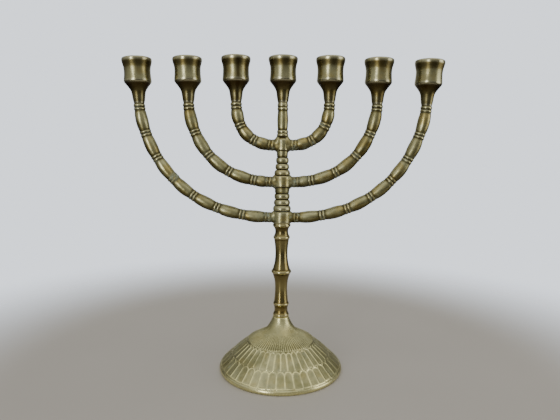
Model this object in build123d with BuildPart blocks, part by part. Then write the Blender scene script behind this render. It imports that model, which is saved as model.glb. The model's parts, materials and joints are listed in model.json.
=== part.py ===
from build123d import *
from math import cos, radians, sin
import os

# Seven-branched candle holder in brass: a hollow cast base, a turned stem, a ribbed
# column with three pairs of curved arms, and seven turned cups screwed on threaded
# studs. One long tie rod, with its washer and nut under the base, holds base, stem and
# column together. The origin is on the floor under the column, the arms lie in the
# XZ plane, and +Z is up.

# ---- driving dimensions, mm ----
overall_height = 330.0
cup_height = 45.9
base_radius = 66.35
base_seat_height = 57.1        # where the stem stands on the base
stem_top_height = 158.6        # where the column stands on the stem
socket_radius = 11.1           # takes a 22 mm household candle
socket_depth = 20.5

tie_rod_radius = 3.0
tie_rod_foot = 27.5
tie_rod_in_column = 10.0
tie_hole_radius = 3.3
washer_radius = 8.0
washer_thickness = 1.5
nut_across_flats = 10.0
nut_height = 5.0

stud_radius = 2.5
stud_in_arm = 8.0
stud_in_cup = 7.0
thread_clearance = 0.05
hole_past_thread = 1.5

joint_height = overall_height - cup_height

# Each pair of arms: height of its centre line at the hub, how far the curve is pulled
# level from the hub and upright below the cup, where its cups stand, how much lower than
# the middle cup, their outward lean in degrees, the hub's radius, and the arm's rings.
arm_pairs = {
    "inner": dict(hub=240.6, level_pull=23.3, upright_pull=32.4, cup_x=48.3, low=0.1,
                  lean=0.4, hub_radius=6.5, rings=3, spacing=20.6),
    "middle": dict(hub=202.3, level_pull=73.1, upright_pull=21.9, cup_x=97.6, low=1.3,
                   lean=1.2, hub_radius=8.75, rings=5, spacing=27.2),
    "outer": dict(hub=164.8, level_pull=114.2, upright_pull=27.5, cup_x=148.7, low=2.3,
                  lean=2.3, hub_radius=9.4, rings=7, spacing=27.5),
}
arm_radius = 5.6
arm_end_chamfer = 0.4
ring_radius = 6.1
ring_width = 1.7
ring_pitch = 3.2               # between the two rings of a pair
first_ring = 3.4               # from a cup joint down to the middle of the first pair
hub_ring_offset = 5.6          # from a hub's side to the pair of rings beside it
arm_root = 3.0                 # the rod starts inside its hub and is cut to the hub's side
hub_half_height = 5.8
seam = 0.02                    # between brazed or stacked faces

os.makedirs("parts", exist_ok=True)


def save(piece, name):
    piece.part.label = name
    export_step(piece.part, f"parts/{name}.step")


def cup_axis(pair, side):
    """The foot of a cup on its arm, and the cup's own upward direction."""
    lean = radians(pair["lean"]) * side
    foot = (side * pair["cup_x"], 0, joint_height - pair["low"])
    return foot, (sin(lean), 0, cos(lean))


def side_plane(foot, up):
    """A plane holding an axis: its x runs across the axis and its y along it."""
    return Plane(origin=foot, x_dir=(up[2], 0, -up[0]), z_dir=(0, -1, 0))


def ribs(start, crests, end):
    """Rounded ribs, one above another, from the foot of the first to the head of the last."""
    grooves = [start]
    for (low_r, low_z), (high_r, high_z) in zip(crests, crests[1:]):
        grooves.append((min(low_r, high_r) - 1.0, (low_z + high_z) / 2))
    grooves.append(end)
    for foot, crest, head in zip(grooves, crests, grooves[1:]):
        ThreePointArc(foot, crest, head)


# ---- base: a thin cast bell, open below, with a thick boss for the tie rod ----
neck_radius = 8.6
dish_edge = (35.6, 31.8)
lower_tier_foot = (64.8, 5.3)
rim_height = 3.3
rim_round = 0.6
boss_radius = 12.0
boss_seat = 36.0               # the washer bears here

with BuildPart() as base:
    with BuildSketch(Plane.XZ):
        with BuildLine():
            Polyline((tie_hole_radius, boss_seat), (tie_hole_radius, base_seat_height),
                     (neck_radius, base_seat_height))
            Spline((neck_radius, base_seat_height), (9.9, 53.4), (12.7, 47.8), (17.2, 42.0),
                   (25.5, 37.2), dish_edge)
            Polyline(dish_edge, (36.4, 30.3), (51.0, 18.7), (51.9, 17.3), lower_tier_foot)
            ThreePointArc(lower_tier_foot, (65.9, 4.5), (base_radius, rim_height))
            Polyline((base_radius, rim_height), (base_radius, rim_round),
                     (base_radius - rim_round, 0), (62.8, 0), (62.8, 2.6), (49.6, 15.0),
                     (34.4, 27.6), (24.0, 33.4), (boss_radius, boss_seat),
                     (tie_hole_radius, boss_seat))
        make_face()
    revolve(axis=Axis.Z)
save(base, "base")

# ---- stem: turned like a bamboo cane, with sharp rings between hollow waists ----
foot_ring = 8.55
low_ring = 8.5
big_ring = 10.65
high_ring = 8.85
collar = 9.4
stem_foot = base_seat_height + seam

with BuildPart() as stem:
    with BuildSketch(Plane.XZ):
        with BuildLine():
            Polyline((tie_hole_radius, stem_top_height), (tie_hole_radius, stem_foot),
                     (8.2, stem_foot), (foot_ring, 58.0), (foot_ring, 60.0), (7.9, 60.9))
            ThreePointArc((7.9, 60.9), (7.05, 65.3), (7.9, 69.8))
            Polyline((7.9, 69.8), (low_ring, 70.5), (low_ring, 72.0), (7.8, 72.8))
            Spline((7.8, 72.8), (6.55, 87.9), (9.3, 104.4))
            Polyline((9.3, 104.4), (big_ring, 105.7), (big_ring, 107.5), (9.3, 108.6))
            Spline((9.3, 108.6), (6.55, 126.0), (7.9, 141.6))
            Polyline((7.9, 141.6), (high_ring, 142.7), (high_ring, 144.5), (8.1, 145.4))
            ThreePointArc((8.1, 145.4), (6.9, 150.4), (8.7, 155.2))
            Polyline((8.7, 155.2), (collar, 155.9), (collar, 157.4), (9.0, stem_top_height),
                     (tie_hole_radius, stem_top_height))
        make_face()
    revolve(axis=Axis.Z)
save(stem, "stem")

# ---- column: three hubs with ribs between them, and a slim shaft for the middle cup ----
column_foot = stem_top_height + seam
low_hub = arm_pairs["outer"]["hub"]
mid_hub = arm_pairs["middle"]["hub"]
top_hub = arm_pairs["inner"]["hub"]
low_hub_radius = arm_pairs["outer"]["hub_radius"]
mid_hub_radius = arm_pairs["middle"]["hub_radius"]
top_hub_radius = arm_pairs["inner"]["hub_radius"]

with BuildPart() as branch_column:
    with BuildSketch(Plane.XZ):
        with BuildLine():
            Polyline((0, joint_height), (0, column_foot), (8.9, column_foot),
                     (low_hub_radius, 159.4), (low_hub_radius, low_hub + hub_half_height),
                     (8.2, 172.0))
            ribs((8.2, 172.0), [(9.2, 174.9), (8.45, 181.0), (7.95, 187.1)], (7.1, 190.1))
            Polyline((7.1, 190.1), (7.6, 191.2), (mid_hub_radius, mid_hub - hub_half_height),
                     (mid_hub_radius, mid_hub + hub_half_height), (7.2, 209.4))
            ribs((7.2, 209.4), [(8.05, 212.4), (7.15, 218.6), (6.55, 224.9)], (5.4, 228.0))
            Polyline((5.4, 228.0), (5.7, 228.8), (top_hub_radius, top_hub - hub_half_height),
                     (top_hub_radius, top_hub + hub_half_height))
            ThreePointArc((top_hub_radius, top_hub + hub_half_height), (5.6, 247.9), (5.3, 249.6))
            ribs((5.3, 249.6), [(6.0, 251.3), (5.7, 254.4)], (5.15, 256.3))
            Spline((5.15, 256.3), (5.6, 264.7), (5.1, 276.4))
            ribs((5.1, 276.4), [(5.5, 278.0), (5.5, 281.4)], (5.1, 283.0))
            Polyline((5.1, 283.0), (5.1, joint_height), (0, joint_height))
        make_face()
    revolve(axis=Axis.Z)
    with BuildSketch(Plane.XY.offset(column_foot)):
        Circle(tie_rod_radius + thread_clearance)
    extrude(amount=tie_rod_in_column, mode=Mode.SUBTRACT)
    with BuildSketch(Plane.XY.offset(joint_height)):
        Circle(stud_radius + thread_clearance)
    extrude(amount=-stud_in_arm, mode=Mode.SUBTRACT)
save(branch_column, "branch_column")


# ---- arms: curved cast rods with paired rings, drilled at the end for a stud ----
def ring_places(pair, path_length):
    """Distances along an arm, from the hub's side, of the middles of its ring pairs."""
    places = [path_length - first_ring - pair["spacing"] * i for i in range(pair["rings"])]
    return places + [hub_ring_offset]


def build_arm(pair, side):
    foot, up = cup_axis(pair, side)
    hub_side = side * pair["hub_radius"]
    level = pair["hub"]
    pulled_level = (hub_side + side * pair["level_pull"], level)
    pulled_upright = (foot[0] - pair["upright_pull"] * up[0], foot[2] - pair["upright_pull"] * up[2])
    with BuildPart() as arm:
        with BuildLine(Plane.XZ) as centre_line:
            Line((side * arm_root, level), (hub_side, level))
            Bezier((hub_side, level), pulled_level, pulled_upright, (foot[0], foot[2]))
        path = centre_line.edges().sort_by(Edge.length)[-1]
        with BuildSketch(Plane.YZ.offset(side * arm_root)):
            with Locations((0, level)):
                Circle(arm_radius)
        sweep(path=centre_line.wires()[0])
        chamfer(arm.edges().sort_by(Axis.Z)[-1], arm_end_chamfer)
        for place in ring_places(pair, path.length):
            for shift in (-ring_pitch / 2, ring_pitch / 2):
                spot = path.position_at(place + shift, position_mode=PositionMode.LENGTH)
                heading = path.tangent_at(place + shift, position_mode=PositionMode.LENGTH)
                with BuildSketch(Plane(origin=spot, x_dir=(0, 1, 0), z_dir=heading)):
                    Circle(ring_radius)
                extrude(amount=ring_width / 2, both=True)
        with Locations((0, 0, pair["hub"])):
            Cylinder(pair["hub_radius"] + seam, 4 * arm_radius, mode=Mode.SUBTRACT)
        with BuildSketch(Plane(origin=foot, x_dir=(0, 1, 0), z_dir=up)):
            Circle(stud_radius + thread_clearance)
        extrude(amount=-stud_in_arm, mode=Mode.SUBTRACT)
    return arm


sides = {"left": -1, "right": 1}
for pair_name, pair in arm_pairs.items():
    for side_name, side in sides.items():
        save(build_arm(pair, side), f"{pair_name}_arm_{side_name}")


# ---- cups and studs ----
def build_stud(foot, up):
    with BuildPart() as stud:
        with BuildSketch(Plane(origin=foot, x_dir=(0, 1, 0), z_dir=up).offset(-stud_in_arm + seam)):
            Circle(stud_radius)
        extrude(amount=stud_in_arm + stud_in_cup)
        chamfer(stud.edges().filter_by(GeomType.CIRCLE), 0.4)
    return stud


def build_cup(foot, up):
    """A turned candle cup: a waisted neck, a sharp shoulder, a drum and a flared lip."""
    plane = side_plane(foot, up)
    rim = cup_height
    floor = rim - socket_depth
    with BuildPart() as cup:
        with BuildSketch(plane):
            with BuildLine():
                Polyline((0, seam), (5.0, seam), (5.2, 0.6))
                Spline((5.2, 0.6), (6.05, 5.0), (6.6, 9.6), (7.3, 13.1), (9.45, 17.2),
                       (12.7, 21.4))
                ThreePointArc((12.7, 21.4), (13.25, 22.1), (13.45, 23.2))
                Spline((13.45, 23.2), (13.25, 31.5), (13.45, 36.6), (14.3, 40.4), (14.9, 43.2))
                ThreePointArc((14.9, 43.2), (14.6, 45.1), (13.4, rim))
                Line((13.4, rim), (11.9, rim))
                ThreePointArc((11.9, rim), (11.35, rim - 0.25), (socket_radius, rim - 0.8))
                Polyline((socket_radius, rim - 0.8), (socket_radius, floor), (0, floor),
                         (0, seam))
            make_face()
        revolve(axis=Axis(foot, up))
        with BuildSketch(Plane(origin=foot, x_dir=(0, 1, 0), z_dir=up)):
            Circle(stud_radius + thread_clearance)
        extrude(amount=stud_in_cup + hole_past_thread, mode=Mode.SUBTRACT)
    return cup


places = {"centre": ((0, 0, joint_height), (0, 0, 1))}
for pair_name, pair in arm_pairs.items():
    for side_name, side in sides.items():
        places[f"{pair_name}_{side_name}"] = cup_axis(pair, side)

for place_name, (foot, up) in places.items():
    save(build_stud(foot, up), f"stud_{place_name}")
    save(build_cup(foot, up), f"cup_{place_name}")

# ---- fixings under the base ----
washer_foot = boss_seat - seam - washer_thickness

with BuildPart() as washer:
    with BuildSketch(Plane.XY.offset(washer_foot)):
        Circle(washer_radius)
        Circle(tie_hole_radius, mode=Mode.SUBTRACT)
    extrude(amount=washer_thickness)
save(washer, "washer")

with BuildPart() as nut:
    with BuildSketch(Plane.XY.offset(washer_foot - seam - nut_height)):
        RegularPolygon(nut_across_flats / 2, 6, major_radius=False)
        Circle(tie_rod_radius + thread_clearance, mode=Mode.SUBTRACT)
    extrude(amount=nut_height)
save(nut, "nut")

with BuildPart() as tie_rod:
    with BuildSketch(Plane.XY.offset(tie_rod_foot)):
        Circle(tie_rod_radius)
    extrude(amount=column_foot + tie_rod_in_column - seam - tie_rod_foot)
    chamfer(tie_rod.edges().filter_by(GeomType.CIRCLE), 0.5)
save(tie_rod, "tie_rod")
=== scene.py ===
import json
from math import cos, pi, radians, sin

import bmesh
import bpy
import numpy as np
from mathutils import Matrix, Vector, noise


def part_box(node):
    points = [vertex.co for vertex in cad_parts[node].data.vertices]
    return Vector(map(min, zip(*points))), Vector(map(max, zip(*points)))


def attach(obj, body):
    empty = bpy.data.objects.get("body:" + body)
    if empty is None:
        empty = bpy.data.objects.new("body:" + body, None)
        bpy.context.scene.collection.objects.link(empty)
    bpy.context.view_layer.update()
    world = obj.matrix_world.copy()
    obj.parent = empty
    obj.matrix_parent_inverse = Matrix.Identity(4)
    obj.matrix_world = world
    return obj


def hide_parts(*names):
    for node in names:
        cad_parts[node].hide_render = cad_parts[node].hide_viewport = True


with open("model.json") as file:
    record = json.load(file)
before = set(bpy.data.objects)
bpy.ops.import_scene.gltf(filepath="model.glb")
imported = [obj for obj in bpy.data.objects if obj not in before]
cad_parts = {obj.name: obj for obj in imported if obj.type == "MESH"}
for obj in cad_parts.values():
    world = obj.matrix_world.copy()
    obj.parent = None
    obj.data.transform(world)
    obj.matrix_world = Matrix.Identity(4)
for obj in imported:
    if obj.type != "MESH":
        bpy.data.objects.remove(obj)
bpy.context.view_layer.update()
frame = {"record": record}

# Lengths below are millimetres, as a brass founder would give them; the scene is in metres.
MM = 0.001
scene = bpy.context.scene


# ---- camera: almost straight ahead of the middle cup, looking slightly down ----
CAMERA_SPOT = (-0.0020, -0.4781, 0.2235)     # metres
CAMERA_DIP = 6.07              # degrees below level
CAMERA_ROLL = 0.52             # degrees
LENS = 29.12                   # focal length in mm, on a sensor of this width
SENSOR_WIDTH = 36.0


def place_camera():
    settings = bpy.data.cameras.new("studio_camera")
    settings.lens = LENS
    settings.sensor_width = SENSOR_WIDTH
    camera = bpy.data.objects.new("studio_camera", settings)
    scene.collection.objects.link(camera)
    stand = Matrix.Translation(CAMERA_SPOT)
    tilt = Matrix.Rotation(radians(90 - CAMERA_DIP), 4, "X")
    roll = Matrix.Rotation(radians(CAMERA_ROLL), 4, "Z")
    camera.matrix_world = stand @ tilt @ roll
    scene.camera = camera


place_camera()


# ---- dimensions shared with the cast frame ----
# Each pair of arms: height of its hub, how far its curve is pulled level from the hub and
# upright below the cup, the hub's radius, its pairs of rings and their spacing, the fillet
# over and below the rod at the hub, and how much stouter it is than the outer pair.
ARM_CURVES = {
    "inner": dict(hub=240.6, level_pull=23.3, upright_pull=32.4, hub_radius=6.5, rings=3,
                  spacing=20.6, fillet=(4.2, 1.9), stout=0.28),
    "middle": dict(hub=202.3, level_pull=73.1, upright_pull=21.9, hub_radius=8.75, rings=5,
                   spacing=27.2, fillet=(2.6, 1.7), stout=0.16),
    "outer": dict(hub=164.8, level_pull=114.2, upright_pull=27.5, hub_radius=9.4, rings=7,
                  spacing=27.5, fillet=(2.3, 1.2), stout=0.0),
}
FIRST_RINGS = 3.4              # from a cup joint down to the middle of the first pair
HUB_RINGS = 5.6                # from a hub's side to the pair beside it
RING_PITCH = 3.45              # between the two rings of a pair
ARM_ROOT = 3.2                 # the rod starts this far inside its hub
STUD_HOLE = 2.55               # radius of the hole for a cup's stud, and its depth in an arm
STUD_DEPTH = 8.0
SIDES = {"left": -1, "right": 1}

sockets = {m["name"].removeprefix("socket_"): m for m in frame["record"]["mounts"]
           if m["name"].startswith("socket_")}
JOINT_SEAM = 0.02
centre_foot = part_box("cup_centre")[0].z / MM - JOINT_SEAM
socket_above_foot = sockets["centre"]["pos_m"][2] / MM - centre_foot


def cup_axis(place):
    """The foot of a cup and its upward direction, in mm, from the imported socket."""
    up = Vector(sockets[place]["axis"]).normalized()
    return Vector(sockets[place]["pos_m"]) / MM - up * socket_above_foot, up


# ---- lines and profiles ----
def flowing(points, per_span=10):
    """A smooth line through points."""
    p = np.asarray(points, float)
    ends = np.vstack([2 * p[0] - p[1], p, 2 * p[-1] - p[-2]])
    t = np.linspace(0, 1, per_span, endpoint=False)[:, None]
    spans = []
    for a, b, c, d in zip(ends, ends[1:], ends[2:], ends[3:]):
        spans.append(0.5 * (2 * b + (c - a) * t + (2 * a - 5 * b + 4 * c - d) * t**2
                            + (3 * b - a - 3 * c + d) * t**3))
    return np.vstack(spans + [p[-1:]])


def bead(foot, crest, head, steps=10):
    """A round bead: half an oval from foot to head, out to the crest."""
    foot, crest, head = (np.asarray(v, float) for v in (foot, crest, head))
    middle = (foot + head) / 2
    turn = np.linspace(0, pi, steps)[:, None]
    return middle + (foot - middle) * np.cos(turn) + (crest - middle) * np.sin(turn)


def blurred(line, width, closed):
    """A line averaged along itself, which rounds off corners about width samples wide."""
    reach = int(np.ceil(3 * width))
    weights = np.exp(-0.5 * (np.arange(-reach, reach + 1) / width) ** 2)
    weights /= weights.sum()
    if closed:
        padded = np.vstack([line[-reach:], line, line[:reach]])
    else:
        padded = np.vstack([2 * line[0] - line[reach:0:-1], line,
                            2 * line[-1] - line[-2:-reach - 2:-1]])
    return np.column_stack([np.convolve(column, weights, "valid") for column in padded.T])


STEP = 0.12                    # between the points of a finished profile
FULL_RELIEF = 0.35             # a crest this far out of its surroundings counts as fully raised


def eased(points, softness, closed=False):
    """The profile with its corners eased, in even small steps."""
    p = np.asarray(points, float)
    if closed:
        p = np.vstack([p, p[:1]])
    along = np.r_[0, np.cumsum(np.linalg.norm(np.diff(p, axis=0), axis=1))]
    count = int(along[-1] / STEP)
    even = np.linspace(0, along[-1], count, endpoint=not closed)
    line = np.column_stack([np.interp(even, along, column) for column in p.T])
    line = blurred(line, softness / STEP, closed)
    line[:, 0] = np.maximum(line[:, 0], 0)
    return line


def relief_along(line, closed, reach=1.5):
    """How far each point stands out from its surroundings (1) or lies in a groove (-1)."""
    wide = blurred(line, reach / STEP, closed)
    heading = np.gradient(line, axis=0)
    outward = np.column_stack([heading[:, 1], -heading[:, 0]])
    outward /= np.maximum(np.linalg.norm(outward, axis=1, keepdims=True), 1e-9)
    return np.clip(((line - wide) * outward).sum(axis=1) / FULL_RELIEF, -1, 1)


def chosen_rows(line, turn=0.14, longest=2.4):
    """Close rows where the profile turns, and wide ones where it runs straight."""
    step = np.gradient(line, axis=0)
    heading = np.unwrap(np.arctan2(step[:, 1], step[:, 0]))
    keep = [0]
    for i in range(1, len(line) - 1):
        far = np.linalg.norm(line[i] - line[keep[-1]]) > longest
        if far or abs(heading[i] - heading[keep[-1]]) > turn:
            keep.append(i)
    return keep + [len(line) - 1]


# ---- meshes ----
def skin(rings, closed):
    """Quads over rings of points; the last ring joins the first one if closed."""
    rows, columns = rings.shape[:2]
    index = np.arange(rows * columns).reshape(rows, columns)
    lower = index if closed else index[:-1]
    upper = np.roll(index, -1, axis=0) if closed else index[1:]
    return np.stack([lower, np.roll(lower, -1, axis=1), np.roll(upper, -1, axis=1), upper],
                    axis=-1).reshape(-1, 4)


def make_piece(name, rings, finish, body="stand", replaces=(), closed=False, marks=None,
               sharp=50, place=None):
    """A named mesh over rings of points in mm, with its marks as values on the points."""
    mesh = bpy.data.meshes.new(name)
    mesh.from_pydata((rings.reshape(-1, 3) * MM).tolist(), [], skin(rings, closed).tolist())
    for label, values in (marks or {}).items():
        spread = np.broadcast_to(values, rings.shape[:2]).astype(np.float32).ravel()
        mesh.attributes.new(label, "FLOAT", "POINT").data.foreach_set("value", spread)
    shell = bmesh.new()
    shell.from_mesh(mesh)
    bmesh.ops.remove_doubles(shell, verts=shell.verts, dist=1e-7)
    if place is not None:
        bmesh.ops.transform(shell, matrix=place, verts=shell.verts)
    shell.to_mesh(mesh)
    shell.free()
    mesh.polygons.foreach_set("use_smooth", [True] * len(mesh.polygons))
    mesh.set_sharp_from_angle(angle=radians(sharp))
    mesh.materials.append(finish)
    piece = bpy.data.objects.new(name, mesh)
    scene.collection.objects.link(piece)
    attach(piece, body)
    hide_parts(*replaces)
    return piece


def unevenness(rings, sizes):
    """A founder's slight unevenness, mm, for each point: pairs of (size of the lumps, height)."""
    spots = rings.reshape(-1, 3)
    total = np.zeros(len(spots))
    for size, height in sizes:
        total += height * np.array([noise.noise(Vector(p) / size) for p in spots.tolist()])
    return total.reshape(rings.shape[:2])


def turn_round(line, columns, angles=None):
    """Rings of points made by turning a profile of (radius, height) about the upright axis."""
    angles = np.linspace(0, 2 * pi, columns, endpoint=False) if angles is None else angles
    radius, height = line[:, :1], line[:, 1:2]
    return np.stack([radius * np.cos(angles), radius * np.sin(angles),
                     np.broadcast_to(height, (len(line), len(angles)))], axis=-1)


def outward_of(line, closed):
    step = (np.roll(line, -1, axis=0) - np.roll(line, 1, axis=0)) if closed else np.gradient(
        line, axis=0)
    away = np.column_stack([step[:, 1], -step[:, 0]])
    return away / np.maximum(np.linalg.norm(away, axis=1, keepdims=True), 1e-9)


# ---- shader node helpers ----
def add(tree, kind, inputs=None, **settings):
    made = tree.nodes.new("ShaderNode" + kind)
    for label, value in settings.items():
        setattr(made, label, value)
    for key, value in (inputs or {}).items():
        if isinstance(value, bpy.types.NodeSocket):
            tree.links.new(value, made.inputs[key])
        else:
            made.inputs[key].default_value = value
    return made


def mix_colour(tree, factor, a, b, blend="MIX"):
    return add(tree, "Mix", {0: factor, 6: a, 7: b}, data_type="RGBA", blend_type=blend).outputs[2]


def mix_value(tree, factor, a, b):
    return add(tree, "Mix", {0: factor, 2: a, 3: b}, data_type="FLOAT").outputs[0]


def ramp(tree, value, low, high, to_low=0.0, to_high=1.0, smooth=True):
    made = add(tree, "MapRange", {"Value": value, "From Min": low, "From Max": high,
                                  "To Min": to_low, "To Max": to_high})
    made.interpolation_type = "SMOOTHSTEP" if smooth else "LINEAR"
    return made.outputs["Result"]


def maths(tree, operation, a, b=0.0, clamp=False):
    made = add(tree, "Math", {0: a, 1: b}, operation=operation)
    made.use_clamp = clamp
    return made.outputs[0]


def noise_at(tree, spot, scale, detail=3.0, roughness=0.5):
    return add(tree, "TexNoise", {"Vector": spot, "Scale": scale, "Detail": detail,
                                  "Roughness": roughness}).outputs["Fac"]


def start_group(name, inputs, outputs):
    tree = bpy.data.node_groups.new(name, "ShaderNodeTree")
    for label, kind, value in inputs:
        socket = tree.interface.new_socket(label, in_out="INPUT", socket_type="NodeSocket" + kind)
        socket.default_value = value
    for label, kind in outputs:
        tree.interface.new_socket(label, in_out="OUTPUT", socket_type="NodeSocket" + kind)
    return tree, tree.nodes.new("NodeGroupInput").outputs, tree.nodes.new("NodeGroupOutput").inputs


def use_group(tree, group, inputs=None):
    made = tree.nodes.new("ShaderNodeGroup")
    made.node_tree = group
    for key, value in (inputs or {}).items():
        if isinstance(value, bpy.types.NodeSocket):
            tree.links.new(value, made.inputs[key])
        else:
            made.inputs[key].default_value = value
    return made.outputs


# ---- shared effects ----
def ageing_effect():
    """Tarnish that gathers in grooves and in blotches and wears off ridges, with painted shade on
    surfaces that face downward.
    """
    tree, given, gives = start_group(
        "ageing",
        [("Rubbed", "Color", (0.8, 0.75, 0.5, 1)), ("Tarnished", "Color", (0.3, 0.25, 0.1, 1)),
         ("Grime And Shade", "Color", (0.05, 0.03, 0.01, 1)), ("Worn", "Color", (0.8, 0.78, 0.6, 1)),
         ("Amber", "Float", 0.4),
         ("Blotch Scale", "Float", 40.0),
         ("Blotches", "Float", 0.6), ("Grooves", "Float", 0.8), ("Painted Underside Shade", "Float", 0.6),
         ("Ridges", "Float", 0.6)],
        [("Color", "Color"), ("Tarnish", "Float"), ("Wear", "Float")])
    spot = add(tree, "TexCoord")
    relief = add(tree, "Attribute", attribute_name="relief").outputs["Fac"]
    blotch = ramp(tree, noise_at(tree, spot.outputs["Object"], given["Blotch Scale"], 4.0, 0.6),
                  0.36, 0.68)
    fine = noise_at(tree, spot.outputs["Object"], 420.0, 3.0, 0.6)
    facing = add(tree, "SeparateXYZ", {0: spot.outputs["Normal"]}).outputs["Z"]
    # marked dirt, which on some pieces also carries painted shade and a painted contact shadow
    placed_dirt_and_shade = add(tree, "Attribute", attribute_name="grime_and_shade").outputs["Fac"]
    placed_dirt_and_shade = maths(tree, "MULTIPLY", placed_dirt_and_shade, ramp(tree, fine, 0.2, 0.6, 0.75, 1.0))
    # painted shade: surfaces that face downward darken, standing in for the dark floor they
    # reflect
    under = ramp(tree, facing, 0.15, -0.6)
    groove = ramp(tree, relief, 0.12, -0.62)
    uneven = maths(tree, "MULTIPLY", groove, ramp(tree, fine, 0.25, 0.55, 0.65, 1.0))
    tarnish_and_shade = maths(tree, "MULTIPLY", blotch, given["Blotches"])
    for mask, amount in ((uneven, given["Grooves"]), (under, given["Painted Underside Shade"])):
        tarnish_and_shade = maths(tree, "ADD", tarnish_and_shade, maths(tree, "MULTIPLY", mask, amount), clamp=True)
    wear = maths(tree, "MULTIPLY", ramp(tree, relief, 0.1, 0.65), given["Ridges"])
    wear = maths(tree, "MULTIPLY", wear, ramp(tree, fine, 0.3, 0.6, 0.55, 1.0))
    tarnish_and_shade = maths(tree, "ADD", tarnish_and_shade, placed_dirt_and_shade, clamp=True)
    left = maths(tree, "SUBTRACT", tarnish_and_shade, wear, clamp=True)
    colour = mix_colour(tree, left, given["Rubbed"], given["Tarnished"])
    stain = ramp(tree, noise_at(tree, spot.outputs["Object"], 75.0, 3.0, 0.55), 0.48, 0.66)
    colour = mix_colour(tree, maths(tree, "MULTIPLY", stain, given["Amber"]), colour,
                        mix_colour(tree, 1.0, colour, (1.02, 0.82, 0.42, 1), "MULTIPLY"))
    # near-black colour: dirt in deep grooves, and painted shade on surfaces that face downward
    dirt_and_shade = maths(tree, "MULTIPLY", ramp(tree, relief, -0.25, -0.95), given["Grooves"])
    dirt_and_shade = maths(tree, "MAXIMUM", dirt_and_shade, maths(tree, "MULTIPLY", ramp(tree, facing, -0.25, -0.9),
                                              given["Painted Underside Shade"]))
    dirt_and_shade = maths(tree, "ADD", dirt_and_shade, maths(tree, "MULTIPLY", placed_dirt_and_shade, 0.75), clamp=True)
    colour = mix_colour(tree, dirt_and_shade, colour, given["Grime And Shade"])
    colour = mix_colour(tree, wear, colour, given["Worn"])
    tree.links.new(colour, gives["Color"])
    tree.links.new(left, gives["Tarnish"])
    tree.links.new(wear, gives["Wear"])
    return tree


def grain_effect():
    """The sand-like skin of a casting, as a height, and the specks that dirt leaves in it."""
    tree, given, gives = start_group("casting_grain", [("Scale", "Float", 900.0)],
                                     [("Height", "Float"), ("Specks", "Float")])
    spot = add(tree, "TexCoord").outputs["Object"]
    sand = noise_at(tree, spot, given["Scale"], 2.0, 0.6)
    cells = add(tree, "TexVoronoi", {"Vector": spot, "Scale": given["Scale"]}).outputs["Distance"]
    height = maths(tree, "ADD", sand, maths(tree, "MULTIPLY", cells, 0.5))
    tree.links.new(height, gives["Height"])
    tree.links.new(ramp(tree, sand, 0.56, 0.36), gives["Specks"])
    return tree


def bloom_effect():
    """Pale green verdigris: where the piece is marked with it, and thinly elsewhere."""
    tree, given, gives = start_group(
        "verdigris_bloom", [("Thin Film", "Float", 0.1), ("Scale", "Float", 260.0)],
        [("Mask", "Float"), ("Color", "Color")])
    spot = add(tree, "TexCoord").outputs["Object"]
    marked = add(tree, "Attribute", attribute_name="verdigris").outputs["Fac"]
    crust = noise_at(tree, spot, given["Scale"], 5.0, 0.65)
    film = maths(tree, "MULTIPLY", given["Thin Film"],
                 ramp(tree, noise_at(tree, spot, 90.0, 4.0, 0.6), 0.45, 0.7))
    mask = maths(tree, "ADD", maths(tree, "MULTIPLY", marked, ramp(tree, crust, 0.3, 0.6)), film,
                 clamp=True)
    shade = mix_colour(tree, ramp(tree, crust, 0.4, 0.65), (0.17, 0.185, 0.115, 1),
                       (0.34, 0.38, 0.27, 1))
    tree.links.new(mask, gives["Mask"])
    tree.links.new(shade, gives["Color"])
    return tree


def tool_mark_effect():
    """Fine rings left by the lathe's tool, as a height that repeats up the piece."""
    tree, given, gives = start_group("lathe_marks", [("Scale", "Float", 2600.0)],
                                     [("Height", "Float"), ("Bands", "Float")])
    spot = add(tree, "SeparateXYZ", {0: add(tree, "TexCoord").outputs["Object"]}).outputs
    squeezed = add(tree, "CombineXYZ", {"X": maths(tree, "MULTIPLY", spot["X"], 0.03),
                                        "Y": maths(tree, "MULTIPLY", spot["Y"], 0.03),
                                        "Z": spot["Z"]}).outputs[0]
    tree.links.new(noise_at(tree, squeezed, given["Scale"], 2.0), gives["Height"])
    tree.links.new(noise_at(tree, squeezed, maths(tree, "MULTIPLY", given["Scale"], 0.16), 3.0),
                   gives["Bands"])
    return tree


def scratch_effect():
    """Handling scratches and rubbed spots: a mask of thin crossing lines."""
    tree, given, gives = start_group("handling_scratches", [("Amount", "Float", 0.3)],
                                     [("Mask", "Float")])
    spot = add(tree, "TexCoord").outputs["Object"]
    lines = 0.0
    for angles, stretch in (((0.4, 0.9, 0.2), 24.0), ((1.3, 0.3, 1.1), 17.0)):
        laid = add(tree, "Mapping", {"Vector": spot, "Rotation": angles,
                                     "Scale": (stretch, 1.0, 1.0)}).outputs[0]
        line = ramp(tree, noise_at(tree, laid, 70.0, 2.0), 0.66, 0.74)
        lines = maths(tree, "MAXIMUM", line, lines)
    tree.links.new(maths(tree, "MULTIPLY", lines, given["Amount"]), gives["Mask"])
    return tree


AGEING = ageing_effect()
GRAIN = grain_effect()
BLOOM = bloom_effect()
TOOL_MARKS = tool_mark_effect()
SCRATCHES = scratch_effect()


# ---- finishes ----
def start_finish(name):
    material = bpy.data.materials.new(name)
    material.use_nodes = True
    tree = material.node_tree
    shader = tree.nodes["Principled BSDF"]
    return material, tree, shader


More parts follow.
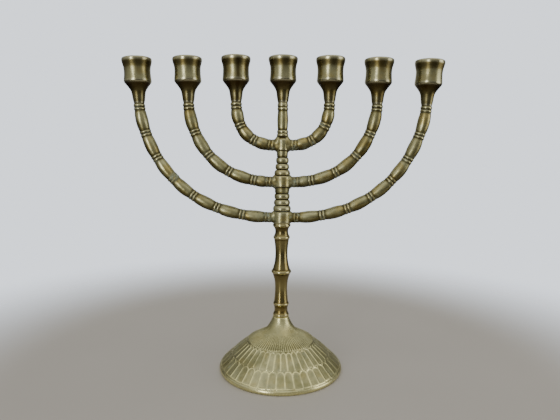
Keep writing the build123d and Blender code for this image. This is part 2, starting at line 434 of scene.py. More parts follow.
def brass_finish(name, ageing, rough, grain, grain_scale, bloom, marks, marks_scale, scratches,
                 anisotropy=0.0):
    """A brass: aged colour, verdigris, grain and tool marks, each with this piece's amounts."""
    material, tree, shader = start_finish(name)
    aged = use_group(tree, AGEING, ageing)
    sand = use_group(tree, GRAIN, {"Scale": grain_scale})
    green = use_group(tree, BLOOM, {"Thin Film": bloom})
    rings = use_group(tree, TOOL_MARKS, {"Scale": marks_scale})
    worn = use_group(tree, SCRATCHES, {"Amount": scratches})
    specked = mix_colour(tree, maths(tree, "MULTIPLY", sand["Specks"], min(1.0, grain * 6)),
                         aged["Color"], mix_colour(tree, 1.0, aged["Color"],
                                                   (0.62, 0.60, 0.55, 1), "MULTIPLY"))
    banded = mix_colour(tree, maths(tree, "MULTIPLY", rings["Bands"], marks), specked,
                        mix_colour(tree, 1.0, specked, (0.80, 0.76, 0.68, 1), "MULTIPLY"))
    colour = mix_colour(tree, green["Mask"], banded, green["Color"])
    tree.links.new(colour, shader.inputs["Base Color"])
    polished, dull = rough
    roughness = mix_value(tree, aged["Tarnish"], polished, dull)
    roughness = mix_value(tree, green["Mask"], roughness, 0.85)
    roughness = maths(tree, "ADD", roughness, maths(tree, "MULTIPLY", worn["Mask"], 0.25),
                      clamp=True)
    tree.links.new(roughness, shader.inputs["Roughness"])
    metal = maths(tree, "SUBTRACT", 1.0, maths(tree, "MULTIPLY", green["Mask"], 0.8))
    tree.links.new(metal, shader.inputs["Metallic"])
    shader.inputs["Anisotropic"].default_value = anisotropy
    height = maths(tree, "ADD", maths(tree, "MULTIPLY", sand["Height"], grain),
                   maths(tree, "MULTIPLY", rings["Height"], marks * 0.006))
    height = maths(tree, "ADD", height, maths(tree, "MULTIPLY", green["Mask"], 0.05))
    bump = add(tree, "Bump", {"Height": height, "Strength": 0.6, "Distance": 0.0006})
    tree.links.new(bump.outputs["Normal"], shader.inputs["Normal"])
    return material


cast_brass = brass_finish(
    "cast_brass",
    {"Rubbed": (0.52, 0.50, 0.27, 1), "Tarnished": (0.18, 0.155, 0.055, 1),
     "Grime And Shade": (0.035, 0.024, 0.009, 1), "Worn": (0.52, 0.49, 0.29, 1), "Amber": 0.6,
     "Blotch Scale": 55.0, "Blotches": 0.5,
     "Grooves": 0.8, "Painted Underside Shade": 0.95, "Ridges": 0.65},
    rough=(0.28, 0.42), grain=0.02, grain_scale=900.0, bloom=0.22, marks=0.02,
    marks_scale=1500.0, scratches=0.3)
cup_brass = brass_finish(
    "cup_brass",
    {"Rubbed": (0.50, 0.49, 0.285, 1), "Tarnished": (0.21, 0.18, 0.075, 1),
     "Grime And Shade": (0.045, 0.027, 0.008, 1), "Worn": (0.60, 0.57, 0.38, 1), "Amber": 0.45,
     "Blotch Scale": 38.0, "Blotches": 0.3,
     "Grooves": 0.7, "Painted Underside Shade": 1.0, "Ridges": 0.7},
    rough=(0.23, 0.36), grain=0.003, grain_scale=1400.0, bloom=0.05, marks=0.2,
    marks_scale=2600.0, scratches=0.4)
stem_brass = brass_finish(
    "stem_brass",
    {"Rubbed": (0.36, 0.31, 0.135, 1), "Tarnished": (0.16, 0.122, 0.042, 1),
     "Grime And Shade": (0.04, 0.024, 0.008, 1), "Worn": (0.62, 0.56, 0.29, 1), "Amber": 0.5,
     "Blotch Scale": 45.0, "Blotches": 0.35,
     "Grooves": 0.8, "Painted Underside Shade": 0.7, "Ridges": 0.9},
    rough=(0.16, 0.28), grain=0.004, grain_scale=1400.0, bloom=0.04, marks=0.3,
    marks_scale=2600.0, scratches=0.4)
base_brass = brass_finish(
    "base_brass",
    {"Rubbed": (0.58, 0.56, 0.31, 1), "Tarnished": (0.33, 0.315, 0.15, 1),
     "Grime And Shade": (0.11, 0.10, 0.045, 1), "Worn": (0.88, 0.83, 0.41, 1), "Amber": 0.3,
     "Blotch Scale": 42.0, "Blotches": 0.75,
     "Grooves": 0.45, "Painted Underside Shade": 0.5, "Ridges": 1.0},
    rough=(0.23, 0.44), grain=0.04, grain_scale=1300.0, bloom=0.15, marks=0.02,
    marks_scale=1800.0, scratches=0.3)


def steel_finish():
    material, tree, shader = start_finish("steel")
    aged = use_group(tree, AGEING, {"Rubbed": (0.46, 0.46, 0.45, 1),
                                    "Tarnished": (0.26, 0.25, 0.23, 1),
                                    "Grime And Shade": (0.10, 0.06, 0.035, 1),
                                    "Worn": (0.6, 0.6, 0.6, 1), "Amber": 0.0,
                                    "Blotch Scale": 180.0,
                                    "Blotches": 0.7, "Grooves": 0.9, "Painted Underside Shade": 0.2,
                                    "Ridges": 0.6})
    worn = use_group(tree, SCRATCHES, {"Amount": 0.6})
    tree.links.new(aged["Color"], shader.inputs["Base Color"])
    roughness = mix_value(tree, aged["Tarnish"], 0.28, 0.55)
    roughness = maths(tree, "ADD", roughness, maths(tree, "MULTIPLY", worn["Mask"], 0.2),
                      clamp=True)
    tree.links.new(roughness, shader.inputs["Roughness"])
    shader.inputs["Metallic"].default_value = 1.0
    sand = use_group(tree, GRAIN, {"Scale": 2000.0})
    bump = add(tree, "Bump", {"Height": sand["Height"], "Strength": 0.15, "Distance": 0.0002})
    tree.links.new(bump.outputs["Normal"], shader.inputs["Normal"])
    return material


steel = steel_finish()


# ---- base: a cast bell with a striated dish, two tiers of round-headed petals and a rim ----
PETALS = 44
COLUMNS_PER_PETAL = 14
UPPER_TIER = (36.4, 51.2)      # radii of its head and foot
LOWER_TIER = (51.9, 64.9)
DOWN_SLOPE = 1.31              # length down the slope for each mm of radius
PETAL_CORNER = 1.3             # rounding at a petal's foot
BASE_RADIUS = 66.35
NECK_RADIUS = 8.6
DISH_EDGE = (35.6, 31.8)
SCRATCHED_FROM = 10            # radius at which the dish's radial scratches begin


def petal_marks(radius, angle, tier, offset, arch, foot):
    """Distance of each point in a tier from its petal's outline, negative inside the petal."""
    pitch = 2 * pi / PETALS
    across = (np.mod(angle / pitch + offset + 0.5, 1.0) - 0.5) * pitch * radius
    half = pi / PETALS * radius
    number = np.mod(np.floor(angle / pitch + offset + 0.5), PETALS)
    uneven = 0.28 * np.sin(2.4 * number) + 0.2 * np.sin(5.3 * number + 1 + 9 * offset)
    down = (radius - tier[0]) * DOWN_SLOPE + uneven
    length = (tier[1] - tier[0]) * DOWN_SLOPE
    head = np.maximum(0, arch * half - down) / arch
    side = np.hypot(across, head) - half
    low = down - (length - foot)
    past_side, past_foot = side + PETAL_CORNER, low + PETAL_CORNER
    edge = (np.minimum(np.maximum(past_side, past_foot), 0)
            + np.hypot(np.maximum(past_side, 0), np.maximum(past_foot, 0)) - PETAL_CORNER)
    inside = (radius > tier[0] - 0.3) & (radius < tier[1] + 0.3)
    return np.where(inside, edge, 9.0)


def base_profile():
    """The section of the bell: under the rim, up the outside and down the inside."""
    neck_line = [DISH_EDGE, (25.5, 37.2), (17.2, 42.0), (12.7, 47.8), (9.9, 53.4),
                 (NECK_RADIUS, 57.1)]
    outline = np.vstack([
        [(62.8, 2.6), (62.8, 0.0), (64.7, 0.0), (65.5, 0.35), (66.1, 1.2), (BASE_RADIUS, 2.4)],
        [(66.3, 3.3), (65.95, 4.2)],
        [(64.8, 5.3), (51.9, 17.3), (51.0, 18.7), (36.4, 30.3), DISH_EDGE],
        flowing(neck_line)[1:],
        [(3.3, 57.1), (3.3, 36.0), (12.0, 36.0), (24.0, 33.4), (34.4, 27.6), (49.6, 15.0)]])
    return eased(outline, 0.28, closed=True)


def base_rows(line, outer, relief):
    """The profile's points that become rows: close together in the tiers and at its bends."""
    keep = [0]
    for i in range(1, len(line)):
        in_tiers = outer[i] and UPPER_TIER[0] - 1 < line[i, 0] < LOWER_TIER[1] + 0.6
        gap = np.linalg.norm(line[i] - line[keep[-1]])
        bend = abs(relief[i] - relief[keep[-1]]) > 0.12 and gap > 0.25
        if gap > (0.38 if in_tiers else 1.5 if outer[i] else 3.0) or bend:
            keep.append(i)
    return keep


def petal_relief(radius, bearing):
    """Height of the raised edges and the hollows of both tiers of petals."""
    lower = petal_marks(radius, bearing, LOWER_TIER, 0.0, 1.15, 0.75)
    upper = petal_marks(radius, bearing, UPPER_TIER, 0.5, 1.15, -1.2)
    fade = np.clip((50.4 - radius) / 8.0, 0, 1) * 0.3 + 0.75
    height = 0.32 * np.exp(-(lower / 0.74) ** 2)
    height += 0.32 * fade * np.exp(-(upper / 0.64) ** 2)
    for edge, depth in ((lower, 0.10), (upper, 0.11)):
        hollow = np.clip(-edge / 2.2, 0, 1)
        height -= np.where(edge < 5, depth * hollow * (2 - hollow), 0)
        height -= np.where((edge > 0) & (edge < 5), 0.12 * np.clip(edge / 0.9, 0, 1), 0)
    return height


def dish_scratches(radius, bearing):
    """Radial scratches in the dish: -1 at the bottom of one, 1 between two."""
    strength = (np.clip((radius - SCRATCHED_FROM) / 6, 0, 1)
                * np.clip((DISH_EDGE[0] - radius) / 0.8, 0, 1))
    striation = np.sin(2 * PETALS * bearing + 1.3 * np.sin(5 * bearing))
    in_dish = (radius > SCRATCHED_FROM) & (radius < DISH_EDGE[0])
    return np.where(in_dish, strength * striation, 0)


def base_marks(rings, line, radius, height, relief, streaks):
    """What the metal shows: rubbed crests, dirt in the scratches, painted shade on the outer dish,
    a painted contact shadow under the rim, verdigris.
    """
    rubbed = 1 + 1.5 * unevenness(rings, ((16.0, 1.0), (5.0, 0.6)))
    shown = np.where(height > 0, height * np.clip(rubbed, 0.35, 1.5), height) / 0.34
    shown += relief[:, None] * 0.6 + 0.28 * streaks
    polished_neck = 0.3 * np.clip((line[:, 1:] - 44) / 6, 0, 1) * (radius > 8.4)
    low_dish = np.clip((radius - 27) / 8, 0, 1) * (radius < 36.6)
    # painted shade: the dish darkens toward its outer edge; dirt lies in the bottoms of the
    # scratches
    grime_and_shade = 0.28 * low_dish + 0.16 * np.clip(-streaks, 0, 1)
    # painted shadow: a dark contact line along the foot of the rim
    grime_and_shade += np.interp(line[:, 1], (0.4, 1.6, 2.4), (0.8, 0.5, 0.0))[:, None] * (radius > 60)
    patches = unevenness(rings, ((11.0, 1.0),))
    valley = np.clip(-height / 0.3, 0, 1) * (radius > 30)
    green = np.clip(valley * (0.35 + 1.3 * patches), 0, 0.75)
    return {"relief": np.clip(shown + polished_neck, -1, 1), "verdigris": green, "grime_and_shade": grime_and_shade}


def build_base():
    line = base_profile()
    outer = np.zeros(len(line), bool)
    outer[int(np.argmax(line[:, 0])):int(np.argmax(line[:, 1]))] = True
    relief = relief_along(line, True, 1.2)
    away = outward_of(line, True)
    keep = base_rows(line, outer, relief)
    line, outer, relief, away = line[keep], outer[keep], relief[keep], away[keep]
    columns = PETALS * COLUMNS_PER_PETAL
    angle = np.linspace(0, 2 * pi, columns, endpoint=False)
    radius = np.where(outer, line[:, 0], 0)[:, None] + np.zeros_like(angle)
    from_front = angle + pi / 2
    streaks = dish_scratches(radius, from_front)
    height = petal_relief(radius, from_front)
    height += 0.17 * streaks * np.clip(radius / 26, 0.4, 1)
    rings = turn_round(line, columns, angle)
    lumps = unevenness(rings, ((14.0, 0.10),))
    lumps += np.where(radius < 64.5, unevenness(rings, ((3.0, 0.05),)), 0)
    height += np.where(radius > 11, lumps, 0)
    push = height[..., None] * np.stack(
        [away[:, :1] * np.cos(angle), away[:, :1] * np.sin(angle),
         np.broadcast_to(away[:, 1:2], height.shape)], axis=-1)
    rings = rings + push
    reach = np.hypot(rings[..., 0], rings[..., 1])
    rings[..., :2] *= np.minimum(1, BASE_RADIUS / np.maximum(reach, 1e-6))[..., None]
    rings[..., 2] = np.maximum(rings[..., 2], 0)
    return make_piece("base_bell", rings, base_brass, replaces=("base",),
                      closed=True, marks=base_marks(rings, line, radius, height, relief, streaks))


# ---- stem: turned like a cane, rings between hollow waists ----
def build_stem():
    foot, top, bore = 57.12, 158.6, 3.3
    profile = np.vstack([
        [(bore, foot), (8.2, foot), (8.55, 57.9), (8.6, 58.9), (8.5, 60.1), (7.9, 60.9)],
        flowing([(7.9, 60.9), (7.2, 62.9), (7.05, 65.3), (7.25, 67.6), (7.9, 69.8)])[1:],
        [(8.35, 70.4), (8.5, 71.2), (8.35, 72.1), (7.75, 72.7)],
        flowing([(7.6, 73.4), (6.95, 79.5), (6.55, 87.9), (7.15, 96.5), (9.2, 104.3)]),
        [(9.75, 104.9), (10.5, 105.6), (10.7, 106.6), (10.5, 107.6), (9.75, 108.3)],
        flowing([(9.3, 108.8), (7.3, 116.5), (6.55, 126.0), (6.95, 134.0), (7.9, 141.6)]),
        [(8.55, 142.5), (8.9, 143.6), (8.55, 144.7), (8.0, 145.4)],
        flowing([(7.9, 145.8), (7.1, 147.8), (6.9, 150.4), (7.4, 153.0), (8.7, 155.2)]),
        [(9.35, 155.8), (9.45, 156.6), (9.35, 157.5), (8.9, 158.1), (8.9, top), (bore, top)]])
    line = eased(profile, 0.17, closed=True)
    rows = chosen_rows(line, longest=1.6)[:-1]
    return make_piece("turned_stem", turn_round(line[rows], 112), stem_brass,
                      replaces=("stem",), closed=True,
                      marks={"relief": relief_along(line, True)[rows, None]})


# ---- column: three hubs with beads between them, and a slim shaft for the middle cup ----
def ribbed(start, crests, end, cut=1.0):
    """Round beads one above another, with a sharp groove between each two."""
    grooves = [start]
    for (low_r, low_z), (high_r, high_z) in zip(crests, crests[1:]):
        grooves.append((min(low_r, high_r) - cut, (low_z + high_z) / 2))
    grooves.append(end)
    return np.vstack([bead(foot, crest, head)
                      for foot, crest, head in zip(grooves, crests, grooves[1:])])


def build_column():
    foot, joint, rod_hole = 158.62, centre_foot, 3.05
    profile = np.vstack([
        [(0, foot + 10), (rod_hole, foot + 10), (rod_hole, foot), (8.9, foot), (9.4, 159.6)],
        [(9.4, 170.2), (8.35, 171.9)],
        ribbed((8.2, 172.1), [(9.35, 174.9), (8.6, 181.0), (8.1, 187.1)], (7.0, 190.0), 1.5),
        [(7.35, 190.9), (7.75, 196.4), (7.55, 197.3), (8.7, 197.7), (8.8, 198.6), (8.8, 207.6)],
        [(8.3, 208.7), (7.4, 209.3)],
        ribbed((7.1, 209.5), [(8.2, 212.4), (7.3, 218.6), (6.7, 224.9)], (5.4, 227.9), 1.5),
        [(5.65, 228.7), (6.0, 234.2), (5.8, 235.1), (6.55, 235.5), (6.65, 236.3), (6.6, 246.0)],
        flowing([(6.6, 246.0), (6.1, 246.9), (5.6, 248.1), (5.3, 249.6)])[1:],
        ribbed((5.3, 249.7), [(6.0, 251.3), (5.75, 254.4)], (5.1, 256.2), 0.6),
        flowing([(5.1, 256.6), (5.4, 260.0), (5.65, 265.5), (5.5, 270.5), (5.1, 276.2)]),
        ribbed((5.0, 276.5), [(5.55, 278.0), (5.5, 281.4)], (5.0, 283.0), 0.55),
        [(5.15, 283.3), (5.2, joint - 0.3), (5.0, joint), (STUD_HOLE, joint)],
        [(STUD_HOLE, joint - STUD_DEPTH), (0, joint - STUD_DEPTH)]])
    line = eased(profile, 0.22)
    rows = chosen_rows(line, longest=1.2)
    rings = turn_round(line[rows], 96)
    lumps = unevenness(rings, ((6.0, 0.14), (2.0, 0.07)))
    radius = line[rows, :1]
    rings[..., :2] *= (1 + np.where(radius > 4.6, lumps, 0) / np.maximum(radius, 1))[..., None]
    relief = relief_along(line, False, 2.0)[rows, None]
    patches = unevenness(rings, ((4.0, 1.0),))
    near_hub = np.zeros(len(rows))
    for pair in ARM_CURVES.values():
        near_hub = np.maximum(near_hub, np.exp(-((line[rows, 1] - pair["hub"]) / 13) ** 2))
    green = np.clip(near_hub[:, None] * (0.15 + 0.9 * patches) * (0.6 - relief), 0, 0.8)
    return make_piece("ribbed_column", rings, cast_brass,
                      replaces=("branch_column",),
                      marks={"relief": relief, "verdigris": green,
                             "grime_and_shade": np.clip(-0.9 * relief - 0.1 + 0.2 * patches, 0, 0.8)})


# ---- arms: curved rods of long swelling beads between pairs of rings ----
GROOVE = 5.38                  # radii: beside a ring, over a ring, and at a bead's thickest
RING = 5.84
SWELL = 6.36
RING_HALF_WIDTH = 1.12


def arm_path(name, side):
    """Points every fraction of a mm along an arm, with the distance from its hub's side."""
    pair = ARM_CURVES[name]
    foot, up = cup_axis(f"{name}_{'left' if side < 0 else 'right'}")
    hub = Vector((side * pair["hub_radius"], 0, pair["hub"]))
    ends = (hub, hub + Vector((side * pair["level_pull"], 0, 0)),
            foot - up * pair["upright_pull"], foot)
    t = np.linspace(0, 1, 1500)[:, None]
    a, b, c, d = (np.array(end) for end in ends)
    curve = (1 - t)**3 * a + 3 * (1 - t)**2 * t * b + 3 * (1 - t) * t**2 * c + t**3 * d
    inward = np.linspace(ARM_ROOT, 0, 20, endpoint=False)[:, None]
    curve = np.vstack([np.array(hub) - np.array((side, 0, 0)) * inward, curve])
    along = np.r_[0, np.cumsum(np.linalg.norm(np.diff(curve, axis=0), axis=1))] - ARM_ROOT
    return curve, along


def arm_thickness(s, length, pair):
    """Radius of the arm at distances s from its hub, and the middles of its ring pairs."""
    middles = sorted([length - FIRST_RINGS - pair["spacing"] * i for i in range(pair["rings"])]
                     + [HUB_RINGS])
    radius = np.full_like(s, GROOVE)
    for low, high in zip(middles, middles[1:]):
        start, end = low + RING_PITCH * 0.98, high - RING_PITCH * 0.98
        t = np.clip((s - start) / (end - start), 0, 1)
        inside = (s > start) & (s < end)
        swell = 1 - np.abs(2 * t - 1) ** 2.0
        short = min(1, (end - start) / 16)
        ends = GROOVE + 0.08
        radius = np.where(inside, ends + (SWELL - ends) * swell * short, radius)
    for middle in middles:
        for ring in (middle - RING_PITCH / 2, middle + RING_PITCH / 2):
            lift = np.sqrt(np.clip(1 - ((s - ring) / RING_HALF_WIDTH) ** 2, 0, 1))
            tall = (RING - GROOVE) * (0.6 if middle == HUB_RINGS else 1.0)
            radius = np.maximum(radius, GROOVE + tall * lift)
    return radius + pair["stout"] * np.clip((length - s) / 12, 0.35, 1), middles


def arm_rows(length, pair):
    """Distances, radii and relief of an arm's rows, from inside its hub to the stud's hole."""
    fine = np.arange(-ARM_ROOT, length, STEP)
    radius, middles = arm_thickness(fine, length, pair)
    radius = blurred(radius[:, None], 0.2 / STEP, False)[:, 0]
    profile = np.column_stack([radius, fine])
    relief = relief_along(profile, False, 1.3)
    rows = chosen_rows(profile, turn=0.16, longest=1.1)
    s, r, relief = fine[rows], radius[rows], relief[rows]
    s = np.r_[s[0], s, length - 0.25, length, length, length - STUD_DEPTH, length - STUD_DEPTH]
    r = np.r_[0, r, 5.25, 5.0, STUD_HOLE, STUD_HOLE, 0]
    relief = np.r_[0, relief, 0, 0, 0, -1, -1]
    return s, r, relief, middles


def arm_directions(curve, along, s, side, turn):
    """The middle of each row on the arm's curve, and the directions outward from it."""
    centre = np.column_stack([np.interp(s, along, column) for column in curve.T])
    heading = np.gradient(curve, axis=0)
    heading = np.column_stack([np.interp(s, along, column) for column in heading.T])
    heading /= np.linalg.norm(heading, axis=1, keepdims=True)
    upward = side * np.column_stack([-heading[:, 2], 0 * s, heading[:, 0]])
    sideways = np.array((0, -side, 0))
    outward = (upward[:, None, :] * np.cos(turn)[None, :, None]
               + sideways * np.sin(turn)[None, :, None])
    return centre, outward


def filleted(s, r, rise, fillet):
    """Radius all round each row, spreading into the hub over and below the rod."""
    over, below = fillet
    thick = np.broadcast_to(r[:, None], (len(s), len(rise))).copy()
    for size, half in ((over, np.clip(rise, 0, 1)), (below, np.clip(-rise, 0, 1))):
        near = np.clip(size - np.maximum(s, 0.0), 0, size)
        flare = size - np.sqrt(size**2 - near**2)
        thick += np.where(r > 3, flare, 0)[:, None] * half**1.6
    return thick


def arm_marks(s, rings, relief, middles):
    """Relief, verdigris round the rings and the hub, and dirt with painted shade beside the rings.
    """
    patches = unevenness(rings, ((5.0, 1.0), (1.6, 0.6)))
    green = np.zeros_like(patches)
    beside = np.zeros_like(s)
    for middle in middles:
        near = np.exp(-((s - middle) / 3.6) ** 2)[:, None]
        green += near * np.clip(0.10 + 0.75 * patches - 0.35 * relief[:, None], 0, 1)
        beside = np.maximum(beside, np.exp(-((s - middle) / 4.6) ** 4))
    near_hub = np.exp(-(np.maximum(s, 0) / 14.0) ** 2)[:, None]
    green += near_hub * np.clip(0.15 + 0.9 * patches, 0, 1)
    shown = np.broadcast_to(relief[:, None], patches.shape).copy()
    # dirt with painted shade: a dark band beside each pair of rings, kept off the ring crests
    grime_and_shade = (beside * np.clip(0.5 - 1.1 * relief, 0, 0.75))[:, None] * (1 + 0.5 * patches)
    return shown, green, grime_and_shade


def mend_spread(s, rise, length, pair):
    """Where old filler covers the outer left arm's fourth pair of rings, thickest on top."""
    mend = length - FIRST_RINGS - 3 * pair["spacing"]
    spread = np.exp(-((s - mend - 0.5) / 4.2) ** 4)[:, None]
    return spread * np.clip(0.55 + 0.75 * rise[None, :], 0.12, 1)


def build_arm(name, side):
    pair = ARM_CURVES[name]
    side_name = "left" if side < 0 else "right"
    curve, along = arm_path(name, side)
    length = along[-1]
    s, r, relief, middles = arm_rows(length, pair)
    turn = np.linspace(0, 2 * pi, 52, endpoint=False)
    rise = np.cos(turn)
    centre, outward = arm_directions(curve, along, s, side, turn)
    thick = filleted(s, r, rise, pair["fillet"])
    rings = centre[:, None, :] + outward * thick[..., None]
    skin_only = np.where(r > 4.5, 1.0, 0)[:, None]
    lumps = unevenness(rings, ((9.0, 0.16), (3.0, 0.10), (1.2, 0.035)))
    shown, green, grime_and_shade = arm_marks(s, rings, relief, middles)
    if name == "outer" and side < 0:
        spread = mend_spread(s, rise, length, pair)
        filler = 5.95 + 0.5 * unevenness(rings, ((2.4, 1.0), (1.1, 0.7)))
        lumps += spread * (np.maximum(filler, 5.7) - thick) * skin_only
        green = green * (1 - spread) + spread * 1.1
        shown *= 1 - spread
        grime_and_shade = grime_and_shade * (1 - spread)
    rings = rings + outward * (lumps * skin_only)[..., None]
    return make_piece(f"{name}_branch_{side_name}", rings, cast_brass,
                      replaces=(f"{name}_arm_{side_name}",),
                      marks={"relief": shown, "verdigris": np.clip(green, 0, 1) * skin_only,
                             "grime_and_shade": np.clip(grime_and_shade, 0, 1)})


# ---- cups ----
CUP_HEIGHT = 45.9
DRUM_RADIUS = 13.5
SOCKET_RADIUS = 11.1
SOCKET_FLOOR = 25.4            # height above the cup's foot
# Darker streaks down a cup's side: bearing from its front, width, both in degrees, and strength.
STAINS = {"inner_left": ((14, 8, 0.75), (-42, 13, 0.35)), "inner_right": ((62, 9, 0.5),),
          "outer_left": ((66, 12, 0.3),), "middle_right": ((34, 10, 0.3),),
          "outer_right": ((-30, 14, 0.2),), "centre": ((-55, 12, 0.2),)}


def cup_profile():
    """The section of a cup: its stud hole, cone, drum, flared lip and socket."""
    rim = CUP_HEIGHT
    return eased(np.vstack([
        [(0, 8.5), (STUD_HOLE, 8.5), (STUD_HOLE, 0.02), (4.9, 0.02), (5.2, 0.5)],
        flowing([(5.3, 0.9), (5.75, 2.9), (6.1, 5.0), (6.4, 7.2), (6.7, 9.6), (7.05, 11.6),
                 (7.7, 13.5), (8.7, 15.3), (10.05, 17.3), (11.7, 19.4), (13.0, 21.0)]),
        [(13.5, 21.8), (13.75, 22.7), (13.75, 23.8)],
        flowing([(13.6, 25.0), (13.3, 28.0), (13.15, 31.5), (13.2, 34.6), (13.45, 37.0)]),
        flowing([(13.7, 38.2), (14.15, 39.6), (14.55, 41.1), (14.95, 42.6), (15.05, 43.8)]),
        [(15.0, 44.7), (14.75, 45.45), (14.1, 45.88), (12.9, rim), (11.6, rim - 0.15)],
        [(SOCKET_RADIUS, rim - 0.9), (SOCKET_RADIUS, SOCKET_FLOOR + 1.2)],
        [(SOCKET_RADIUS - 1.2, SOCKET_FLOOR), (1.6, SOCKET_FLOOR), (0, SOCKET_FLOOR - 0.7)]]),
        0.16)


def cup_dirt_and_shade(place, tall, inside, columns):
    """Painted shade in the cone and under the lip, dirt in the socket, and this cup's own streaks.
    """
    # painted shade: the downward-facing cone, shoulder and underside of the lip darken, standing
    # in for the dark floor they reflect
    grime_and_shade = np.interp(tall, (0, 4, 12, 15, 21, 22.5, 24.5, 36, 38.5, 41, 43),
                      (0.35, 0.3, 0.35, 0.45, 0.42, 0.3, 0.05, 0.0, 0.5, 0.55, 0.1))
    grime_and_shade = np.where(inside, 0.5, grime_and_shade)[:, None] + np.zeros(columns)
    from_front = np.linspace(0, 2 * pi, columns, endpoint=False) + pi / 2
    for bearing, width, strength in STAINS.get(place, ()):
        turned = np.mod(from_front - radians(bearing) + pi, 2 * pi) - pi
        grime_and_shade += strength * np.exp(-(turned / radians(width)) ** 2) * (~inside)[:, None]
    return np.clip(grime_and_shade, 0, 1)


def build_cup(place, number):
    foot, up = cup_axis(place)
    columns = 104
    line = cup_profile()
    rows = chosen_rows(line, turn=0.15, longest=2.0)
    radius, tall = line[rows, 0], line[rows, 1]
    inside = (np.arange(len(rows)) > np.argmax(tall)) & (tall < CUP_HEIGHT - 0.9)
    relief = relief_along(line, False)[rows].copy()
    relief[inside] = -0.6
    rings = turn_round(line[rows], columns)
    lumps = unevenness(rings + 200 * number, ((7.0, 0.12), (22.0, 0.16)))
    on_drum = ((radius > 12) & ~inside)[:, None]
    rings[..., :2] *= (1 + on_drum * lumps / DRUM_RADIUS)[..., None]
    across = Vector((up.z, 0, -up.x))
    turn = Matrix((across, up.cross(across), up)).transposed().to_4x4()
    return make_piece(f"candle_cup_{place}", rings, cup_brass,
                      body=f"{place}_cup", replaces=(f"cup_{place}",),
                      marks={"relief": relief[:, None],
                             "grime_and_shade": cup_dirt_and_shade(place, tall, inside, columns)},
                      place=Matrix.Translation(foot * MM) @ turn)


# ---- studs, tie rod, washer and nut ----
STUD_RADIUS = 2.5
ROD_RADIUS = 3.0
HALF_ACROSS_FLATS = 5.0
HALF_ACROSS_CORNERS = 5.8


def threaded(radius, pitch, spans, start, end, columns=28):
    """Rings of points for a rod along z from start to end, screw-cut over the given spans."""
    height = [start, start]
    for low, high in spans:
        height += list(np.arange(low, high, pitch / 6))
    height = np.array(sorted(height + [end, end]))
    angle = np.linspace(0, 2 * pi, columns, endpoint=False)
    phase = np.mod(height[:, None] / pitch - angle[None, :] / (2 * pi), 1.0)
    depth = 0.61 * pitch * np.abs(2 * phase - 1)
    cut = np.zeros(len(height))
    for low, high in spans:
        cut = np.maximum(cut, np.clip((height - low) / pitch, 0, 1)
                         * np.clip((high - height) / pitch, 0, 1))
    for i in (0, 1, -2, -1):
        cut[i] = 0
    r = radius - depth * cut[:, None]
    r[0], r[-1] = 0, 0
    r[1], r[-2] = radius - 0.5, radius - 0.5
    rings = np.stack([r * np.cos(angle), r * np.sin(angle),
                      np.broadcast_to(height[:, None], r.shape)], axis=-1)
    relief = np.clip(0.5 - 2.4 * depth * cut[:, None] / pitch, -1, 1)
    return rings, relief


def build_stud(place):
    foot, up = cup_axis(place)
    rings, relief = threaded(STUD_RADIUS, 0.8, [(-7.6, 6.6)], JOINT_SEAM - STUD_DEPTH, 7.0)
    turn = Vector((0, 0, 1)).rotation_difference(up).to_matrix().to_4x4()
    return make_piece(f"threaded_stud_{place}", rings, steel, replaces=(f"stud_{place}",),
                      marks={"relief": relief}, place=Matrix.Translation(foot * MM) @ turn)


def build_fixings():
    low, high = (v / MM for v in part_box("tie_rod"))
    spans = [(low.z + 0.4, low.z + 16), (high.z - 12, high.z - 0.4)]
    rings, relief = threaded(ROD_RADIUS, 1.0, spans, low.z, high.z)
    make_piece("long_tie_rod", rings, steel, replaces=("tie_rod",),
               marks={"relief": relief})
    low, high = (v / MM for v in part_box("washer"))
    edge = [(3.3, low.z + 0.2), (3.5, low.z), (7.8, low.z), (8.0, low.z + 0.25),
            (8.0, high.z - 0.1), (7.9, high.z), (3.3, high.z)]
    line = eased(edge, 0.08, closed=True)
    rows = chosen_rows(line, longest=1.5)[:-1]
    make_piece("round_washer", turn_round(line[rows], 72), steel, replaces=("washer",),
               closed=True, marks={"relief": relief_along(line, True)[rows, None]})
    low, high = (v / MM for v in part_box("nut"))
    columns = 96
    angle = np.linspace(0, 2 * pi, columns, endpoint=False)
    flats = HALF_ACROSS_FLATS / np.cos(np.mod(angle + pi / 6, pi / 3) - pi / 6)
    rim = HALF_ACROSS_CORNERS
    half = [(3.05, 0.7), (3.6, 0), (4.75, 0), (5.1, 0.2), (5.45, 0.4), (rim, 0.62)]
    line = np.array([(r, low.z + z) for r, z in half] + [(rim, (low.z + high.z) / 2)]
                    + [(r, high.z - z) for r, z in reversed(half)])
    radius = np.minimum(line[:, :1], flats)
    rings = np.stack([radius * np.cos(angle), radius * np.sin(angle),
                      np.broadcast_to(line[:, 1:2], radius.shape)], axis=-1)
    make_piece("hexagon_nut", rings, steel, replaces=("nut",), closed=True, sharp=20,
               marks={"relief": np.zeros((len(line), 1))})


build_base()
build_stem()
build_column()
for arm_name in ARM_CURVES:
    for arm_side in SIDES.values():
        build_arm(arm_name, arm_side)
for number, cup_place in enumerate(sockets):
    build_cup(cup_place, number)
    build_stud(cup_place)
build_fixings()


# ---- studio: a pale floor, two windows and the even light of the room; metres from here ----
FLOOR_REACH = 0.62
FLOOR_FULL = 0.43              # the share of its reach over which the floor is solid
LAMP_AIM = (0, 0, 0.16)


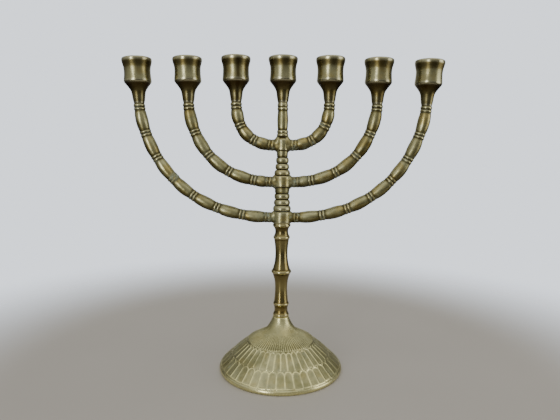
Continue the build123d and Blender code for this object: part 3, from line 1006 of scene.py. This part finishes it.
def build_floor():
    """A round pale floor whose far edge fades into the plain backdrop."""
    rings, columns = 12, 96
    angle = np.linspace(0, 2 * pi, columns, endpoint=False)
    reach = np.linspace(0, FLOOR_REACH, rings + 1)[1:]
    verts = [(0.0, 0.0, 0.0)] + [(r * cos(a), r * sin(a), 0.0) for r in reach for a in angle]
    faces = [(0, 1 + j, 1 + (j + 1) % columns) for j in range(columns)]
    for i in range(rings - 1):
        low, high = 1 + i * columns, 1 + (i + 1) * columns
        faces += [(low + j, high + j, high + (j + 1) % columns, low + (j + 1) % columns)
                  for j in range(columns)]
    mesh = bpy.data.meshes.new("pale_floor")
    mesh.from_pydata(verts, [], faces)
    material, tree, shader = start_finish("pale_floor")
    spot = add(tree, "TexCoord").outputs["Object"]
    tone = mix_colour(tree, noise_at(tree, spot, 6.0, 3.0), (0.50, 0.47, 0.43, 1),
                      (0.54, 0.51, 0.47, 1))
    away = add(tree, "VectorMath", {0: spot}, operation="LENGTH").outputs["Value"]
    tree.links.new(tone, shader.inputs["Base Color"])
    tree.links.new(ramp(tree, away, FLOOR_REACH, FLOOR_REACH * FLOOR_FULL), shader.inputs["Alpha"])
    shader.inputs["Roughness"].default_value = 0.45
    mesh.materials.append(material)
    floor = bpy.data.objects.new("pale_floor", mesh)
    scene.collection.objects.link(floor)


def add_window(name, azimuth, distance, height, size, power, tint):
    """A soft rectangular lamp, its azimuth in degrees from straight in front, toward +X."""
    settings = bpy.data.lights.new(name, "AREA")
    settings.shape = "RECTANGLE"
    settings.size, settings.size_y = size
    settings.energy = power
    settings.color = tint
    lamp = bpy.data.objects.new(name, settings)
    scene.collection.objects.link(lamp)
    a = radians(azimuth)
    lamp.location = (sin(a) * distance, -cos(a) * distance, height)
    aim = Vector(LAMP_AIM) - lamp.location
    lamp.rotation_euler = aim.to_track_quat("-Z", "Y").to_euler()
    lamp.visible_camera = False


def light_room():
    """Pale air, brighter overhead, straight behind and toward the front left."""
    world = bpy.data.worlds.new("studio_air")
    scene.world = world
    world.use_nodes = True
    tree = world.node_tree
    toward = add(tree, "TexCoord").outputs["Generated"]
    part = add(tree, "SeparateXYZ", {0: toward}).outputs
    horizon = ramp(tree, part["Z"], -0.22, 0.14, 0.06, 0.26)
    overhead = ramp(tree, part["Z"], 0.2, 0.9, 0.0, 0.66)
    dimmer_back = ramp(tree, part["Y"], 0.1, 0.8, 1.0, 0.4)
    straight_behind = ramp(tree, part["Y"], 0.72, 1.0, 0.0, 0.40)
    light = maths(tree, "MULTIPLY", maths(tree, "ADD", horizon, overhead), dimmer_back)
    light = maths(tree, "ADD", light, straight_behind)
    left = (-sin(radians(50)), -cos(radians(50)), 0.1)
    facing = add(tree, "VectorMath", {0: toward, 1: left}, operation="DOT_PRODUCT")
    glow = ramp(tree, facing.outputs["Value"], 0.72, 0.98, 0.0, 0.16)
    light = maths(tree, "ADD", light, glow)
    room = mix_colour(tree, 1.0, (1.0, 0.99, 0.94, 1), light, "MULTIPLY")
    seen = add(tree, "LightPath").outputs["Is Camera Ray"]
    colour = mix_colour(tree, seen, room, (1.33, 1.42, 1.55, 1))
    background = tree.nodes["Background"]
    tree.links.new(colour, background.inputs["Color"])
    background.inputs["Strength"].default_value = 1.0


build_floor()
add_window("left_window", -28, 1.6, 0.30, (0.34, 1.1), 7.5, (1.0, 1.0, 0.98))
add_window("right_window", 78, 1.4, 0.30, (0.85, 1.1), 5.2, (1.0, 0.98, 0.92))
light_room()
